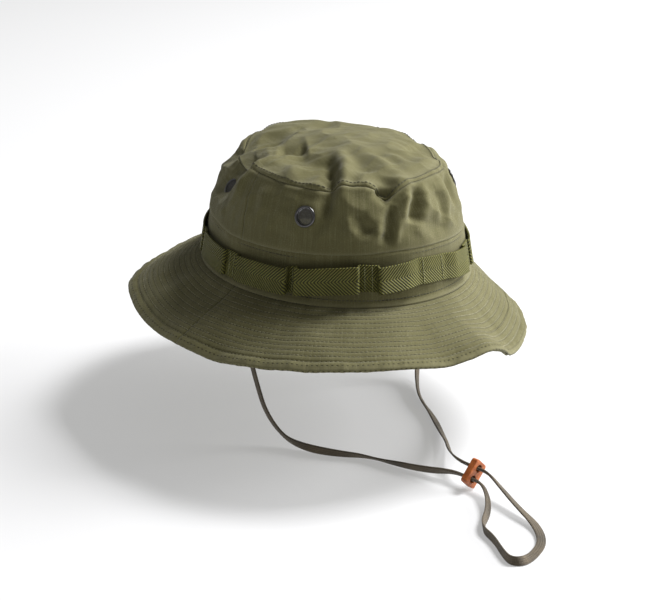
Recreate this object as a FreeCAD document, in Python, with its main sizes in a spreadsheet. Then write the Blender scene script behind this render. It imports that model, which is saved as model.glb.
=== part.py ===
# Boonie hat: a soft sun hat with a quilted brim, a band of foliage loops, four
# screened vents and a chin cord with a leather slider.
#
# Frame: millimetres, +Z up, -Y the wearer's front, +X the wearer's left.  The origin is
# the centre of the head opening, on the seam that joins the crown to the brim.
# Every horizontal outline is an oval: half_width across, half_width + oval_extra along Y,
# drawn in by an inset that grows with height.
import FreeCAD, Part
import Sketcher
import math
import os

from FreeCAD import Placement, Rotation, Vector

doc = FreeCAD.newDocument("boonie_hat")

# ---------------------------------------------------------------- driving dimensions
SIZES = {
    "half_width": 85.0,        # crown half width at the brim seam, cloth outside
    "oval_extra": 16.0,        # how much longer than wide the oval is, each way
    "cloth": 1.2,              # crown cloth with its lining and seam turnings
    "band_height": 34.0,       # brim seam to the seam above the foliage loops
    "band_inset": 5.6,         # draw-in of the crown at the top of the band
    "shoulder_height": 64.0,
    "shoulder_inset": 12.0,
    "tip_height": 76.0,        # brim seam to the seam round the tip panel
    "tip_inset": 19.0,
    "tip_rise": 10.0,          # doming of the tip panel
    "sweatband_height": 30.0,  # top edge above the brim seam
    "sweatband_drop": 3.2,     # lower edge below the brim seam
    "sweatband_thick": 1.4,
    "sewn_gap": 0.3,           # looseness between sewn layers
    "brim_width": 58.0,        # along the slope
    "brim_slope": 27.0,        # degrees below level
    "brim_ply": 1.3,           # one of the brim's two plies
    "webbing_width": 20.0,
    "webbing_thick": 1.2,
    "webbing_rise": 11.5,      # lower edge of the webbing above the brim seam
    "webbing_lift": 0.5,       # webbing off the crown where it is sewn flat
    "loop_stand": 5.6,         # depth behind a loop at its lower edge
    "vent_height": 56.0,
    "vent_angle": 31.0,        # degrees to each side of the ear line
    "eyelet_radius": 7.2,
    "eyelet_thick": 0.8,
    "barrel_radius": 5.0,
    "vent_bore": 4.3,
    "screen_thick": 0.5,
    "vent_gap": 0.5,           # flat ring off the curved cloth, each side
    "cord_radius": 2.25,
    "slider_length": 17.5,
    "slider_width": 12.0,
    "slider_thick": 4.5,
    "slider_corner": 2.0,
    "slider_holes": 8.0,       # centre to centre
    "cord_clearance": 0.35,    # radial, cord in the slider's hole
}

sheet = doc.addObject("Spreadsheet::Sheet", "size")
for row, (alias, value) in enumerate(SIZES.items(), start=1):
    sheet.set(f"A{row}", alias)
    sheet.set(f"B{row}", str(value))
    sheet.setAlias(f"B{row}", alias)
doc.recompute()


def size(alias):
    """A driving dimension, read back from the sheet."""
    return float(sheet.get(alias))


nodes = []


def keep(obj, label):
    """Name an object as a finished sub-part."""
    obj.Label = label
    nodes.append(obj)
    return obj


def bind(obj, **expressions):
    """Bind properties to the sheet; a double underscore stands for a dot."""
    for prop, expression in expressions.items():
        obj.setExpression(prop.replace("__", "."), expression)
    return obj


# ---------------------------------------------------------------- oval shells
def oval(inset, height):
    """Oval outline drawn in by inset, at a height; both are sheet expressions."""
    ring = doc.addObject("Part::Ellipse", "oval")
    ring.Placement = Placement(Vector(), Rotation(Vector(0, 0, 1), 90))
    return bind(ring,
                MajorRadius=f"size.half_width + size.oval_extra - ({inset})",
                MinorRadius=f"size.half_width - ({inset})",
                Placement__Base__z=height)


def stack(levels):
    """Solid through a stack of ovals, given as (inset, height) pairs."""
    loft = doc.addObject("Part::Loft", "stack")
    loft.Sections = [oval(inset, height) for inset, height in levels]
    loft.Solid = True
    loft.Ruled = True
    return loft


def boolean(kind, base, tool):
    """Cut, common or fuse, unrefined: refining these oval shells loses faces."""
    obj = doc.addObject("Part::" + kind, kind.lower())
    obj.Base = base
    obj.Tool = tool
    obj.Refine = False
    return obj


def cut(base, tool):
    return boolean("Cut", base, tool)


def half(shell, front):
    """The front or back half of a shell, parted at the ears."""
    block = doc.addObject("Part::Box", "half_space")
    reach = "2 * (size.half_width + size.oval_extra + size.brim_width)"
    bind(block, Length=reach, Width=reach, Height=reach,
         Placement__Base__x=f"-({reach}) / 2",
         Placement__Base__y=f"-({reach})" if front else "0",
         Placement__Base__z=f"-({reach}) / 2")
    return boolean("Common", shell, block)


BAND_DRAW = "size.band_inset / size.band_height"
CLOTH = "size.cloth"

band_levels = [("0", "0"), ("size.band_inset", "size.band_height")]
side_levels = [("size.band_inset", "size.band_height"),
               ("size.shoulder_inset", "size.shoulder_height"),
               ("size.tip_inset", "size.tip_height")]
# The tip panel domes up in three steps: share of its rise, and draw-in from its seam.
TIP_STEPS = [(0.0, 0.0), (0.5, 10.0), (0.85, 28.0), (1.0, 46.0)]


def lined(levels):
    """The same levels drawn in by the cloth, for the inside of a shell."""
    return [(f"{inset} + {CLOTH}", height) for inset, height in levels]


def crown_band():
    return keep(cut(stack(band_levels), stack(lined(band_levels))), "crown_band")


def crown_tip():
    outside = [(f"size.tip_inset + {draw}", f"size.tip_height + {share} * size.tip_rise")
               for share, draw in TIP_STEPS]
    inside = [outside[0]] + [(inset, f"{height} - {CLOTH}") for inset, height in outside[1:]]
    return keep(cut(stack(outside), stack(lined(inside))), "crown_tip_panel")


def crown_sides(vent_tools):
    """Two side panels, each with a hole for the two vents on its half."""
    for label, front in (("crown_side_front", True), ("crown_side_back", False)):
        panel = half(cut(stack(side_levels), stack(lined(side_levels))), front)
        for tool in vent_tools:
            if (tool.Placement.Base.y < 0) == front:
                panel = cut(panel, tool)
        keep(panel, label)


def sweatband():
    outer = f"{CLOTH} + size.sewn_gap"
    high = f"size.sweatband_height * {BAND_DRAW}"
    ends = [("0", "-size.sweatband_drop"), (high, "size.sweatband_height")]
    skin = [(f"{inset} + {outer}", height) for inset, height in ends]
    core = [(f"{inset} + {outer} + size.sweatband_thick", height) for inset, height in ends]
    return keep(cut(stack(skin), stack(core)), "sweatband")


def brim_ply(name, number):
    """One ply of the brim, number 0 on top, in a front and a back half."""
    run = "size.brim_width * cos(size.brim_slope * 1 deg)"
    fall = "size.brim_width * sin(size.brim_slope * 1 deg)"
    top = f"-{number} * size.brim_ply"
    under = f"-{number + 1} * size.brim_ply"
    body = stack([("0", top), (f"-{run}", f"{top} - {fall}"), (f"-{run}", f"{under} - {fall}")])
    hollow = stack([("0", under), (f"-{run}", f"{under} - {fall}")])
    opening = stack([(CLOTH, "-size.brim_width"), (CLOTH, "size.brim_width")])
    ring = cut(cut(body, hollow), opening)
    keep(half(ring, True), f"{name}_front")
    keep(half(ring, False), f"{name}_back")


# ---------------------------------------------------------------- places on the crown
def crown_inset(height):
    """Draw-in of the crown's outside at a height, straight between its levels."""
    levels = [(0.0, 0.0)]
    for name in ("band", "shoulder", "tip"):
        levels.append((size(name + "_height"), size(name + "_inset")))
    for (low, first), (high, second) in zip(levels, levels[1:]):
        if height <= high:
            return first + (second - first) * (height - low) / (high - low)
    return levels[-1][1]


def on_crown(angle, height, out=0.0):
    """Point on the crown's outside at an angle from +X, moved out by a distance."""
    turn = math.radians(angle)
    across = size("half_width") - crown_inset(height) + out
    along = across + size("oval_extra")
    return Vector(across * math.cos(turn), along * math.sin(turn), height)


def crown_normal(angle, height):
    """Outward normal of the crown's outside."""
    step = 0.5
    around = on_crown(angle + step, height) - on_crown(angle - step, height)
    upward = on_crown(angle, height + step) - on_crown(angle, height - step)
    return around.cross(upward).normalize()


# ---------------------------------------------------------------- vents
def disc(radius, low, high):
    """Cylinder between two depths along the vent's own axis; sheet expressions."""
    obj = doc.addObject("Part::Cylinder", "disc")
    return bind(obj, Radius=radius, Height=f"({high}) - ({low})", Placement__Base__z=low)


def vent_places():
    """One placement per vent: two on each side of the hat, about the ear line."""
    spread = size("vent_angle")
    for angle in (180 + spread, 180 - spread, spread, -spread):
        place = on_crown(angle, size("vent_height"))
        outward = crown_normal(angle, size("vent_height"))
        yield Placement(place, Rotation(Vector(0, 0, 1), outward))


# Depths along a vent's axis: 0 is the cloth's outside, and minus is into the crown.
FLANGE = "size.vent_gap"
WASHER = "-size.cloth - size.vent_gap"


def vent(number, place):
    """Eyelet with its barrel, the washer it is clenched over, and the woven screen."""
    flange = disc("size.eyelet_radius", FLANGE, f"{FLANGE} + size.eyelet_thick")
    barrel = disc("size.barrel_radius", WASHER + " - size.eyelet_thick", FLANGE)
    deep = "3 * size.eyelet_radius"
    rim = boolean("Fuse", flange, barrel)
    eyelet = cut(rim, disc("size.vent_bore", f"-{deep}", deep))
    washer = cut(disc("size.eyelet_radius", WASHER + " - size.eyelet_thick", WASHER),
                 disc("size.barrel_radius", f"-{deep}", deep))
    screen = disc("size.vent_bore", "-size.screen_thick", "0")
    keep(eyelet, f"vent_eyelet_{number}")
    keep(washer, f"vent_washer_{number}")
    eyelet.Placement = place
    washer.Placement = place
    mesh = doc.addObject("Part::Compound", "screen")
    mesh.Links = [screen]
    mesh.Placement = place
    keep(mesh, f"vent_screen_{number}")


def vent_hole(place):
    """Tool for the hole in the crown cloth, which clears the barrel."""
    deep = "2 * size.eyelet_radius"
    hole = doc.addObject("Part::Compound", "vent_hole")
    hole.Links = [disc("size.barrel_radius + size.sewn_gap / 2", f"-{deep}", deep)]
    hole.Placement = place
    return hole


# ---------------------------------------------------------------- foliage webbing
# Loops on the wearer's right, front to back, as start and end angles from +X; the
# left side mirrors them.  The strip is bar-tacked flat to the band between them.
RIGHT_LOOPS = [(243.0, 262.0), (209.5, 235.0), (180.5, 206.0),
               (149.0, 173.0), (119.0, 144.0), (96.0, 112.0)]
FOLD = 1.0   # degrees taken by the fold at each end of a loop
STEP = 6.0   # longest straight, in degrees, along the strip


def loop_spans():
    """All loops in order of angle, starting at the front on the wearer's right."""
    left = [(540.0 - end, 540.0 - start) for start, end in RIGHT_LOOPS]
    spans = [(start % 360.0, start % 360.0 + end - start) for start, end in RIGHT_LOOPS + left]
    return sorted(spans, reverse=True)


def strip_line(flat_from, start, end):
    """Angles and stand-off of the strip's inside: flat on the band, then one loop."""
    flat = size("webbing_lift")
    proud = flat + size("loop_stand")
    stops = [(flat_from, start, flat), (start + FOLD, end - FOLD, proud)]
    line = []
    for first, last, out in stops:
        count = max(1, math.ceil((last - first) / STEP))
        line += [(first + (last - first) * i / count, out) for i in range(count + 1)]
    return line + [(end, flat)]


def strip_outline(line, height):
    """Closed outline of the strip's lower edge."""
    thick = size("webbing_thick")
    inside = [on_crown(angle, height, out) for angle, out in line]
    outside = [on_crown(angle, height, out + thick) for angle, out in line]
    return Part.makePolygon(inside + outside[::-1] + inside[:1])


def webbing():
    """The upright strip, one node for each loop with the flat stretch before it."""
    spans = sorted(loop_spans())
    for number, (start, end) in enumerate(spans, start=1):
        flat_from = spans[number - 2][1] - (360.0 if number == 1 else 0.0)
        line = strip_line(flat_from, start, end)
        strip = doc.addObject("Part::Feature", "strip")
        outline = strip_outline(line, size("webbing_rise"))
        strip.Shape = Part.Face(outline).extrude(Vector(0, 0, size("webbing_width")))
        keep(strip, f"webbing_loop_{number:02d}")


# ---------------------------------------------------------------- slider
# The slider stands rolled on the surface below the hat; the cord runs through it twice.
SLIDER_CENTRE = Vector(-15.0, -158.0, -101.0)
SLIDER_HEADING = -85.0   # degrees from +X, the way the cord leaves towards its loop
SLIDER_ROLL = 45.0       # degrees, the lower hole is on the wearer's right


def slider_axes():
    """Slide axis, and the direction from the upper to the lower hole."""
    heading = math.radians(SLIDER_HEADING)
    roll = math.radians(SLIDER_ROLL)
    slide = Vector(math.cos(heading), math.sin(heading), 0)
    level = Vector(math.sin(heading), -math.cos(heading), 0)
    return slide, level * math.cos(roll) + Vector(0, 0, -math.sin(roll))


def origin_plane(body, role):
    """One of a body's own origin planes."""
    return next(item for item in body.Origin.OriginFeatures if item.Role == role)


def slider_sketch(body, name):
    sketch = body.newObject("Sketcher::SketchObject", name)
    sketch.AttachmentSupport = [(origin_plane(body, "XY_Plane"), "")]
    sketch.MapMode = "FlatFace"
    return sketch


def slider():
    """Leather tab: a pad with rounded corners and two holes for the cord."""
    body = doc.addObject("PartDesign::Body", "slider")
    outline = slider_sketch(body, "tab_outline")
    half_length = size("slider_length") / 2
    half_width = size("slider_width") / 2
    corners = [(-1, -1), (1, -1), (1, 1), (-1, 1)]
    points = [Vector(x * half_length, y * half_width, 0) for x, y in corners]
    for i in range(4):
        outline.addGeometry(Part.LineSegment(points[i], points[(i + 1) % 4]), False)
    for i in range(4):
        outline.addConstraint(Sketcher.Constraint("Coincident", i, 2, (i + 1) % 4, 1))
    for i in (0, 2):
        outline.addConstraint(Sketcher.Constraint("Horizontal", i))
        outline.addConstraint(Sketcher.Constraint("Vertical", i + 1))
    outline.addConstraint(Sketcher.Constraint("Symmetric", 0, 1, 2, 1, -1, 1))
    length = outline.addConstraint(
        Sketcher.Constraint("DistanceX", 0, 1, 0, 2, size("slider_length")))
    width = outline.addConstraint(
        Sketcher.Constraint("DistanceY", 1, 1, 1, 2, size("slider_width")))
    outline.setExpression(f"Constraints[{length}]", "size.slider_length")
    outline.setExpression(f"Constraints[{width}]", "size.slider_width")
    tab = body.newObject("PartDesign::Pad", "tab")
    tab.Profile = outline
    tab.Midplane = True
    tab.setExpression("Length", "size.slider_thick")
    doc.recompute()
    upright = [f"Edge{i}" for i, edge in enumerate(tab.Shape.Edges, start=1)
               if abs(edge.tangentAt(edge.FirstParameter).z) > 0.99]
    rounded = body.newObject("PartDesign::Fillet", "tab_corners")
    rounded.Base = (tab, upright)
    rounded.setExpression("Radius", "size.slider_corner")
    drilled = slider_sketch(body, "cord_holes")
    spacing = size("slider_holes")
    bore = size("cord_radius") + size("cord_clearance")
    for side in (-1, 1):
        circle = Part.Circle(Vector(side * spacing / 2, 0, 0), Vector(0, 0, 1), bore)
        at = drilled.addGeometry(circle, False)
        radius = drilled.addConstraint(Sketcher.Constraint("Radius", at, bore))
        drilled.setExpression(f"Constraints[{radius}]", "size.cord_radius + size.cord_clearance")
    drilled.addConstraint(Sketcher.Constraint("PointOnObject", 0, 3, -1))
    drilled.addConstraint(Sketcher.Constraint("Symmetric", 0, 3, 1, 3, -1, 1))
    apart = drilled.addConstraint(Sketcher.Constraint("DistanceX", 0, 3, 1, 3, spacing))
    drilled.setExpression(f"Constraints[{apart}]", "size.slider_holes")
    holes = body.newObject("PartDesign::Pocket", "cord_passages")
    holes.Profile = drilled
    holes.Type = "ThroughAll"
    holes.Midplane = True
    slide, across = slider_axes()
    body.Placement = Placement(SLIDER_CENTRE, Rotation(across, slide.cross(across), slide, "ZXY"))
    return keep(body, "cord_slider")


# ---------------------------------------------------------------- chin cord
# One cord: down from the wearer's right ear, along the surface, through the slider,
# round the loop, back through the slider and up to the left ear.  Chosen by hand.
RIGHT_STRAND = [(-81.0, -6.0, -46.0), (-78.5, -11.0, -68.0), (-75.5, -17.0, -90.0),
                (-69.5, -29.0, -106.0), (-65.0, -46.0, -109.7), (-54.0, -67.5, -109.7),
                (-40.0, -83.0, -109.7), (-34.0, -102.5, -109.7), (-26.0, -124.0, -108.5)]
LOOP = [(-14.0, -181.0, -101.5), (-19.0, -203.0, -106.5), (-23.0, -224.0, -109.0),
        (-34.5, -240.0, -109.7), (-51.0, -247.5, -109.7), (-62.5, -250.5, -109.7),
        (-68.0, -245.0, -109.7), (-63.5, -233.5, -109.7), (-56.5, -220.0, -109.7),
        (-52.5, -204.0, -109.5), (-35.0, -192.5, -109.0), (-23.5, -180.5, -106.5)]
LEFT_STRAND = [(-4.0, -124.0, -102.0), (10.5, -106.0, -106.5), (22.0, -88.0, -109.0),
               (37.0, -64.0, -109.7), (50.0, -35.0, -109.7), (66.0, -14.5, -108.5),
               (78.0, -2.0, -99.5), (82.0, 1.5, -75.0), (83.5, 1.5, -48.0)]
EAR_FALL = 22.0       # straight down from the sweatband at each ear
REACH_BACK = 15.0     # straight cord behind the slider's centre, towards the hat
REACH_FORE = 10.0     # and ahead of it, towards the loop
BEND_SHARE = 0.45     # of the shorter run beside a bend, given to its arc


def cord_route():
    """All points of the route, from the right ear to the left ear."""
    middle = size("cloth") + size("sewn_gap") + size("sweatband_thick") / 2
    ear = size("half_width") - middle
    drop = -size("sweatband_drop")
    slide, across = slider_axes()
    back = slide * -REACH_BACK
    fore = slide * REACH_FORE
    lower = SLIDER_CENTRE + across * (size("slider_holes") / 2)
    upper = SLIDER_CENTRE - across * (size("slider_holes") / 2)
    start = [Vector(-ear, 0, drop), Vector(-ear, 0, drop - EAR_FALL)]
    end = [Vector(ear, 0, drop - EAR_FALL), Vector(ear, 0, drop)]
    first_pass = [lower + back, lower + fore]
    second_pass = [upper + fore, upper + back]
    return (start + [Vector(*p) for p in RIGHT_STRAND] + first_pass
            + [Vector(*p) for p in LOOP[::-1]] + second_pass
            + [Vector(*p) for p in LEFT_STRAND] + end)


def bent_path(points):
    """Straight runs joined by tangent arcs, each as large as its two runs allow."""
    edges = []
    radii = []
    at = points[0]
    for before, corner, after in zip(points, points[1:], points[2:]):
        arrive = (corner - before).normalize()
        leave = (after - corner).normalize()
        turn = arrive.getAngle(leave)
        trim = BEND_SHARE * min((corner - before).Length, (after - corner).Length)
        radius = trim / math.tan(turn / 2)
        first = corner - arrive * trim
        last = corner + leave * trim
        inward = (leave - arrive).normalize()
        middle = corner + inward * (radius / math.cos(turn / 2) - radius)
        edges.append(Part.LineSegment(at, first).toShape())
        edges.append(Part.Arc(first, middle, last).toShape())
        radii.append(radius)
        at = last
    edges.append(Part.LineSegment(at, points[-1]).toShape())
    return Part.Wire(edges), radii


def chin_cord():
    points = cord_route()
    path, radii = bent_path(points)
    start = Part.Circle(points[0], points[1] - points[0], size("cord_radius"))
    shape = path.makePipeShell([Part.Wire(start.toShape())], True, False)
    print("cord arc radii, mm:", " ".join(f"{radius:.1f}" for radius in radii))
    runs = [(b - a).Length for a, b in zip(points, points[1:])]
    print("cord runs, mm:", " ".join(f"{run:.1f}" for run in runs))
    section = math.pi * size("cord_radius") ** 2
    print(f"cord length {path.Length:.1f} mm, volume {shape.Volume:.0f} mm3, "
          f"section x length {section * path.Length:.0f} mm3")
    cord = doc.addObject("Part::Feature", "cord")
    cord.Shape = shape
    return keep(cord, "chin_cord")


# ---------------------------------------------------------------- the hat
places = list(vent_places())
crown_band()
crown_sides([vent_hole(place) for place in places])
crown_tip()
sweatband()
brim_ply("brim_upper", 0)
brim_ply("brim_lower", 1)
for index, spot in enumerate(places, start=1):
    vent(index, spot)
webbing()
chin_cord()
slider()

doc.recompute()
failed = [obj.Name for obj in doc.Objects if "Invalid" in obj.State or "Error" in obj.State]
failed += [obj.Label for obj in nodes if obj.Shape.isNull() or not obj.Shape.isValid()]
if failed:
    raise SystemExit("failed: " + ", ".join(failed))

os.makedirs("parts", exist_ok=True)
for obj in nodes:
    obj.Shape.exportStep(f"parts/{obj.Label}.step")
    print(f"{obj.Label}: {len(obj.Shape.Solids)} solid, {obj.Shape.Volume:.0f} mm3")
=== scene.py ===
# %% [markdown]
# # A boonie hat
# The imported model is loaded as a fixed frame: it says where every piece goes.  Blender's unit is
# the metre, but a hat is sewn in millimetres, so the shapes here are worked out in
# millimetres and one helper turns them into metres.

# %% Frame and units
import math
import bmesh
import bpy
import numpy as np
from mathutils import Matrix, Vector


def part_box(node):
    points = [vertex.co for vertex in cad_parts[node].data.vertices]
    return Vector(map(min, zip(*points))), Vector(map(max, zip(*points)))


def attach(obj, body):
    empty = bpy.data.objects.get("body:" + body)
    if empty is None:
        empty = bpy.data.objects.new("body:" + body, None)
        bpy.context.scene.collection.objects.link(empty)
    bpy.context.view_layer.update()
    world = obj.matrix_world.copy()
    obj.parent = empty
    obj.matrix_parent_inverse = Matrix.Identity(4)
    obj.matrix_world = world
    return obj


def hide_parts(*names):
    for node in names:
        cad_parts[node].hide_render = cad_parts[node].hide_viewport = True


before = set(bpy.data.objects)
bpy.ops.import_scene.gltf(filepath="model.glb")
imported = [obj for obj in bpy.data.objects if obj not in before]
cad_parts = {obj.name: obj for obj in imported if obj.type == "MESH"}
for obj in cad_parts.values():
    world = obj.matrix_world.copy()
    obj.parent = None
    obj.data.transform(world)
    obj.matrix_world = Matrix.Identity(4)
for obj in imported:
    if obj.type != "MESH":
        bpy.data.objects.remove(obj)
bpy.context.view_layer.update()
MM = 0.001


def corners(node):
    """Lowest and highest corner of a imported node, in millimetres."""
    low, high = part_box(node)
    return np.array(low) / MM, np.array(high) / MM


band_high = corners("crown_band")[1]
HALF_WIDTH = band_high[0]                 # crown, at the seam with the brim
HALF_LENGTH = band_high[1]
EXTRA = HALF_LENGTH - HALF_WIDTH
tip_top = corners("crown_tip_panel")[1][2]
FLOOR = corners("chin_cord")[0][2]
brim_reach = corners("brim_upper_front")[1][0] - HALF_WIDTH
print("crown half width", round(HALF_WIDTH, 1), "half length", round(HALF_LENGTH, 1))
print("tip", round(tip_top, 1), "floor", round(FLOOR, 1), "brim reach", round(brim_reach, 1))

# %% [markdown]
# A camera is placed by the angle it looks from.  A long lens from 1.3 m keeps the brim's
# near and far edges in natural proportion, and the aim is a little below the hat so that
# the cord on the floor is in view too.

# %% Camera
CAMERA_AZIMUTH = math.radians(-40.0)
CAMERA_ELEVATION = math.radians(20.1)
CAMERA_DISTANCE = 1.3
LENS = 103.85
AIM_RIGHT = -0.0067
AIM_UP = -0.0298

toward_camera = Vector((math.sin(CAMERA_AZIMUTH) * math.cos(CAMERA_ELEVATION),
                        -math.cos(CAMERA_AZIMUTH) * math.cos(CAMERA_ELEVATION),
                        math.sin(CAMERA_ELEVATION)))
camera_right = Vector((math.cos(CAMERA_AZIMUTH), math.sin(CAMERA_AZIMUTH), 0))
camera_up = toward_camera.cross(camera_right)
camera = bpy.data.objects.new("camera", bpy.data.cameras.new("camera"))
bpy.context.scene.collection.objects.link(camera)
camera.data.lens = LENS
camera.location = toward_camera * CAMERA_DISTANCE
aim = camera_right * AIM_RIGHT + camera_up * AIM_UP
camera.rotation_euler = (aim - camera.location).to_track_quat("-Z", "Y").to_euler()
bpy.context.scene.camera = camera
print("camera at", [round(x, 3) for x in camera.location])

# %% [markdown]
# Every cloth piece starts as a flat grid, as it would on the cutting table, and is then
# laid in place by a function of its two cloth directions.  The grid's UV map keeps the
# flat cloth position in metres, so that a weave has the same scale on every piece.  The
# alternative, modelling folds by hand, gives no flat pattern to weave on.

# %% Laying a grid of cloth
def add_piece(name, bm):
    """New object from a bmesh, smooth shaded."""
    mesh = bpy.data.meshes.new(name)
    bm.to_mesh(mesh)
    bm.free()
    mesh.shade_smooth()
    piece = bpy.data.objects.new(name, mesh)
    bpy.context.scene.collection.objects.link(piece)
    return piece


def laid_grid(name, cells, place, cloth_size, weld=False):
    """Grid of cells[0] by cells[1], laid by place(u, v) in mm; u and v run from 0 to 1."""
    bm = bmesh.new()
    bmesh.ops.create_grid(bm, x_segments=cells[0], y_segments=cells[1], size=0.5)
    flat = np.array([vertex.co[:2] for vertex in bm.verts]) + 0.5
    laid = place(flat[:, 0], flat[:, 1]) * MM
    uv = bm.loops.layers.uv.new("cloth")
    for face in bm.faces:
        for loop in face.loops:
            spot = flat[loop.vert.index]
            loop[uv].uv = (spot[0] * cloth_size[0] * MM, spot[1] * cloth_size[1] * MM)
    for vertex, spot in zip(bm.verts, laid):
        vertex.co = spot
    if weld:
        bmesh.ops.remove_doubles(bm, verts=bm.verts, dist=1e-6)
    return add_piece(name, bm)


def thicken(piece, thickness, side=-1.0):
    """Give a laid grid its thickness in mm; side -1 adds it behind the face."""
    wall = piece.modifiers.new("thickness", "SOLIDIFY")
    wall.thickness = thickness * MM
    wall.offset = side
    wall.use_quality_normals = True
    return piece


def eased(knots, step=0.5, soften=9):
    """Smooth function through given (place, value) knots."""
    places, values = np.array(knots, float).T
    dense = np.arange(places[0], places[-1] + step, step)
    line = np.interp(dense, places, values)
    window = np.hanning(soften + 2)[1:-1]
    padded = np.pad(line, soften // 2, mode="reflect", reflect_type="odd")
    smooth = np.convolve(padded, window / window.sum(), mode="valid")
    return lambda x: np.interp(x, dense, smooth)


WAVES = 9                                 # waves added up in one ripple
WAVE_PEAK = 3.2                           # what their sum usually reaches


def ripple(points, wavelength, seed):
    """Smooth random waves over points in mm, from about -1 to 1."""
    draw = np.random.default_rng(seed)
    total = np.zeros(len(points))
    for _ in range(WAVES):
        heading = draw.normal(size=3)
        heading *= 2 * math.pi / wavelength / np.linalg.norm(heading) * draw.uniform(0.6, 1.5)
        total += np.sin(points @ heading + draw.uniform(0, 2 * math.pi))
    return total / WAVE_PEAK


print("cloth helpers ready")

# %% [markdown]
# Materials come before the pieces, one for each finish in the record.  A finish is a
# Principled shader whose colour and bump are driven by noise and waves on the piece's own UV
# map.  The small helper below keeps each material readable: one call adds a node,
# sets its inputs and links what feeds it.

# %% Material helper
def new_material(name):
    """A material with its tree and shader, ready to be fed."""
    material = bpy.data.materials.new(name)
    material.use_nodes = True
    tree = material.node_tree
    return material, tree, tree.nodes["Principled BSDF"]


def add_node(tree, kind, settings=None, **inputs):
    """Add a node; inputs are values or (node, output name) pairs, names use _ for a space."""
    node = tree.nodes.new("ShaderNode" + kind)
    for key, value in (settings or {}).items():
        setattr(node, key, value)
    for key, value in inputs.items():
        connect(tree, node, key.replace("_", " "), value)
    return node


def connect(tree, node, socket, value):
    """Set an input, or link it from (node, output name)."""
    if isinstance(value, tuple) and isinstance(value[0], bpy.types.Node):
        tree.links.new(value[0].outputs[value[1]], node.inputs[socket])
    else:
        node.inputs[socket].default_value = value


def colours(tree, factor, stops):
    """Colour ramp from (position, (r, g, b)) stops."""
    ramp = add_node(tree, "ValToRGB", Fac=factor)
    elements = ramp.color_ramp.elements
    while len(elements) < len(stops):
        elements.new(0.5)
    for element, (position, colour) in zip(elements, stops):
        element.position = position
        element.color = (*colour, 1.0)
    return ramp, "Color"


def calc(tree, operation, first, second=0.0, third=0.0):
    """One arithmetic step; returns its (node, output) pair."""
    node = tree.nodes.new("ShaderNodeMath")
    node.operation = operation
    for index, value in enumerate((first, second, third)):
        connect(tree, node, index, value)
    return node, "Value"


# Places of a colour Mix node's sockets in its lists.
MIX_SHARE, MIX_FIRST, MIX_SECOND, MIX_RESULT = 0, 6, 7, 2


def mixed(tree, blend, share, first, second):
    """Two colours mixed by a share."""
    mix = add_node(tree, "Mix", {"data_type": "RGBA", "blend_type": blend})
    for socket, value in ((MIX_SHARE, share), (MIX_FIRST, first), (MIX_SECOND, second)):
        connect(tree, mix, socket, value)
    return mix, MIX_RESULT


def bumped(tree, shader, height, strength, distance, below=None):
    """Feed a height to the shader as a bump; returns the bump's normal."""
    bump = add_node(tree, "Bump", Height=height, Strength=strength, Distance=distance)
    if below:
        connect(tree, bump, "Normal", below)
    connect(tree, shader, "Normal", (bump, "Normal"))
    return bump, "Normal"


# %% [markdown]
# The hat is cut from a dense cotton twill that has been washed soft.  It has a fine
# weave, slubs, which are thicker threads that make faint vertical streaks, a cloudy
# unevenness of the dye, and paler ridges where seams have been rubbed.  All of it is
# matt, with a little sheen from loose fibres.

# %% Cotton cloth
def stretched(tree, uv, scale_u, scale_v, detail=3.0):
    """Noise on the cloth, with its own scale across and along."""
    turn = add_node(tree, "Mapping", Vector=uv, Scale=(scale_u, scale_v, 1.0))
    return add_node(tree, "TexNoise", Vector=(turn, "Vector"), Scale=1.0, Detail=detail)


STITCH = 2.7                              # length of a stitch in mm


def needle_hole_shade(tree, uv, rows_from, row_step):
    """Share of a needle hole, 0 to 1, along evenly spaced rows, used as painted shade; places in
    metres.
    """
    parts = add_node(tree, "SeparateXYZ", Vector=uv)
    row = calc(tree, "DIVIDE", calc(tree, "SUBTRACT", (parts, "Y"), rows_from), row_step)
    off_row = calc(tree, "ABSOLUTE", calc(tree, "SUBTRACT", calc(tree, "FRACT", row), 0.5))
    stagger = calc(tree, "MULTIPLY", calc(tree, "FLOOR", row), 0.37)
    stitch = calc(tree, "FRACT", calc(tree, "MULTIPLY_ADD", (parts, "X"), 1 / (STITCH * MM), stagger))
    off_hole = calc(tree, "ABSOLUTE", calc(tree, "SUBTRACT", stitch, 0.5))
    across_row = calc(tree, "MULTIPLY_ADD", off_row, -7.5, 1.0)
    along_row = calc(tree, "MULTIPLY_ADD", off_hole, -3.6, 1.0)
    near = calc(tree, "MULTIPLY", calc(tree, "MAXIMUM", across_row, 0.0),
                calc(tree, "MAXIMUM", along_row, 0.0))
    return calc(tree, "MINIMUM", calc(tree, "MULTIPLY", near, 2.3), 1.0)


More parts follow.
